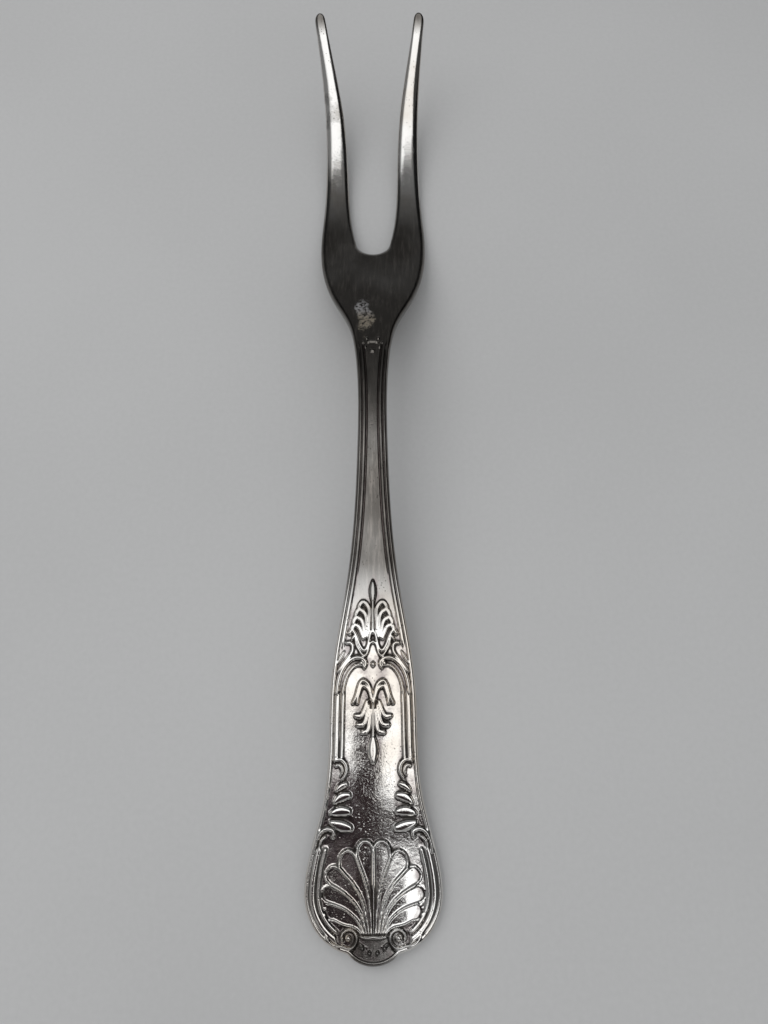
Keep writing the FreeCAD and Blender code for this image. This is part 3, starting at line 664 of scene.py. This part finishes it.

# Brown film: along the stem and the palm, at both ends of the fork, on a dull place of
# the left tine, and on the ground round the ornament.  Along the stem, the palm and the
# ends it is partly tarnish and partly painted dark reflection.
stem_film_and_painted_dark = along.ramp(59, 78) * along.ramp(184, 164, 0.25, 1.0)
end_film_and_painted_dark = along.ramp(214, 219).most(
    along.ramp(6.0, 4.0) * (across * across).ramp(22, 12) * 0.85)
dull = (along.ramp(190, 196) * along.ramp(210, 204) * across.ramp(-5, -8)
        * mottle.ramp(0.35, 0.6) * 0.55)
film_and_painted_dark = (stem_film_and_painted_dark.most(end_film_and_painted_dark).most(dull) * (blotches * 0.5 + 0.72)).least(1.0)
ground_film = halo.ramp(0.03, 0.17) * (mottle + grain * 0.5).ramp(0.55, 0.85) * 0.8
dark_beside_relief = ((cavity + (grain - 0.5) * 0.05).ramp(0.05, 0.15)
                      * along.ramp(70, 96, 1.0, 0.5))
# A ragged place at the foot of the palm where the film is rubbed off.
rubbed_along, rubbed_across = (along - 134.2) / 6.6, (across + 1.9) / 2.3
rubbed = rubbed_along * rubbed_along + rubbed_across * rubbed_across + (mottle - 0.5) * 3.0
rubbed = rubbed.ramp(1.1, 0.5) * grain.ramp(0.4, 0.56) * 0.85

# The two brown film colours are partly tarnish and partly painted dark reflection.
BRIGHT, WARM = (0.87, 0.85, 0.82, 1), (0.7, 0.64, 0.57, 1)
FILM_AND_PAINTED_DARK, FILM_AND_PAINTED_DARK_STREAK = (0.1, 0.092, 0.083, 1), (0.19, 0.172, 0.155, 1)
DULL_GROUND, BLACK = (0.26, 0.22, 0.215, 1), (0.02, 0.016, 0.012, 1)
RUBBED_YELLOW, RUBBED_GREY = (0.8, 0.7, 0.56, 1), (0.86, 0.84, 0.85, 1)
colour = blotches.ramp(0.42, 0.7).mix(BRIGHT, WARM)
# Mixes in the brown film, which is partly painted dark reflection.
colour = film_and_painted_dark.mix(colour, streaks.mix(FILM_AND_PAINTED_DARK, FILM_AND_PAINTED_DARK_STREAK))
colour = ground_film.mix(colour, DULL_GROUND)
colour = rubbed.mix(colour, along.ramp(133, 137).mix(RUBBED_YELLOW, RUBBED_GREY))
colour = (dark_beside_relief * 0.93).most(pits * 0.7).mix(colour, BLACK)
colour.into(silver_sockets["Base Color"])
roughness = (mottle * 0.1 + grain * 0.06 + film_and_painted_dark * 0.14 + dark_beside_relief * 0.2
             + rubbed * 0.25 + 0.01)
roughness.into(silver_sockets["Roughness"])
bumps = (grain * 0.1 + mottle * 0.45 + blotches * 1.1 - hairs * 0.06 - cross_hairs * 0.05
         - pits * 0.3 - dents * 0.05)
bumps.bump(0.06 * MM, 1.0).into(silver_sockets["Normal"])
silver_sockets["Metallic"].default_value = 1
mesh.materials.append(silver)


# ---------------------------------------------------------------- desk
# A plain pale table top with a faint grain, far wider than the picture.  The fork lies
# on it, on the backs of its tines and the end of its handle.
bpy.ops.mesh.primitive_plane_add(size=4.0, location=(0, 0, TABLE))
desk = bpy.context.object
desk.name = "desk"
desk_paint, desk_nodes, desk_sockets = new_finish("desk_paint")
desk_place = desk_nodes.node("TexCoord", {}, 3)
desk_grain = desk_place.node("TexNoise", {"Vector": desk_place, "Scale": 900.0, "Detail": 5.0})
desk_cloud = desk_place.node("TexNoise", {"Vector": desk_place, "Scale": 9.0, "Detail": 3.0})
tint = (desk_grain * 0.35 + desk_cloud * 0.65).ramp(0.3, 0.7)
tint.mix((0.5, 0.498, 0.495, 1), (0.54, 0.538, 0.535, 1)).into(desk_sockets["Base Color"])
desk_sockets["Roughness"].default_value = 0.55
desk_grain.bump(0.0001, 0.25).into(desk_sockets["Normal"])
desk.data.materials.append(desk_paint)


# ---------------------------------------------------------------- light and camera
# A soft room.  The silver alone sees a bright ceiling that ends beyond the tines and low
# at the sides, and dark cards over the handle, which shade the shell and the streak.
world = bpy.data.worlds.new("room")
bpy.context.scene.world = world
world.use_nodes = True
background = world.node_tree.nodes["Background"].inputs
world_nodes = Value(world.node_tree)
way = world_nodes.node("TexCoord", {}, 0)
way_x, way_y = (way.node("SeparateXYZ", {0: way}, axis) for axis in (0, 1))
ceiling = (way_y + way_x * 0.2).ramp(0.36, 0.28, 0.16, 1.5) * way_y.ramp(-0.75, -0.45, 0.2, 1.0)
ceiling = ceiling * way_x.ramp(0.5, 0.36, 0.04, 1.0) * way_x.ramp(-0.65, -0.3, 0.15, 1.0)
mirrored = world_nodes.node("LightPath", {}, 3)
PLAIN_LIGHT = 0.62
(mirrored * ceiling + (1 - mirrored) * PLAIN_LIGHT).into(background["Strength"])
background["Color"].default_value = (0.97, 0.985, 1.0, 1)

bpy.ops.object.light_add(type="AREA", location=(-0.55, 0.2, 0.8))
lamp = bpy.context.object
lamp.rotation_euler = (math.radians(-14), math.radians(-34), 0)
lamp.data.shape = "RECTANGLE"
lamp.data.size, lamp.data.size_y = 0.8, 1.0
lamp.data.energy = 3.0
lamp.visible_glossy = False

# Place, size and colour of each dark card.
for number, (at, card_size, card_colour) in enumerate((
    ((-0.0075, -0.2, 0.163), (0.022, 0.19, 1), (0.05, 0.03, 0.032, 1)),
    ((-0.04, -0.125, 0.164), (0.05, 0.014, 1), (0.3, 0.25, 0.27, 1)),
    ((-0.05, -0.2, 0.165), (0.07, 0.14, 1), (0.05, 0.035, 0.04, 1)),
    ((-0.0535, -0.254, 0.168), (0.117, 0.25, 1), (0.05, 0.035, 0.035, 1)),
    ((0.026, -0.258, 0.169), (0.044, 0.25, 1), (0.05, 0.035, 0.035, 1)),
), 1):
    bpy.ops.mesh.primitive_plane_add(size=1.0, location=at)
    card = bpy.context.object
    card.name = f"dark_card_{number}"
    card.scale = card_size
    card.visible_camera = card.visible_diffuse = card.visible_shadow = False
    card_paint, _, card_sockets = new_finish(f"card_paint_{number}")
    card_sockets["Base Color"].default_value = card_colour
    card_sockets["Roughness"].default_value = 1
    card.data.materials.append(card_paint)

bpy.ops.object.camera_add(location=(0.00212, -0.0763, 0.165),
                          rotation=(math.radians(19), 0, math.radians(-0.29)))
camera = bpy.context.object
camera.data.sensor_fit = "VERTICAL"
camera.data.sensor_width = camera.data.sensor_height = 36
camera.data.lens = 27
camera.data.clip_start = 0.01
bpy.context.scene.camera = camera
bpy.context.scene.view_settings.view_transform = "Standard"
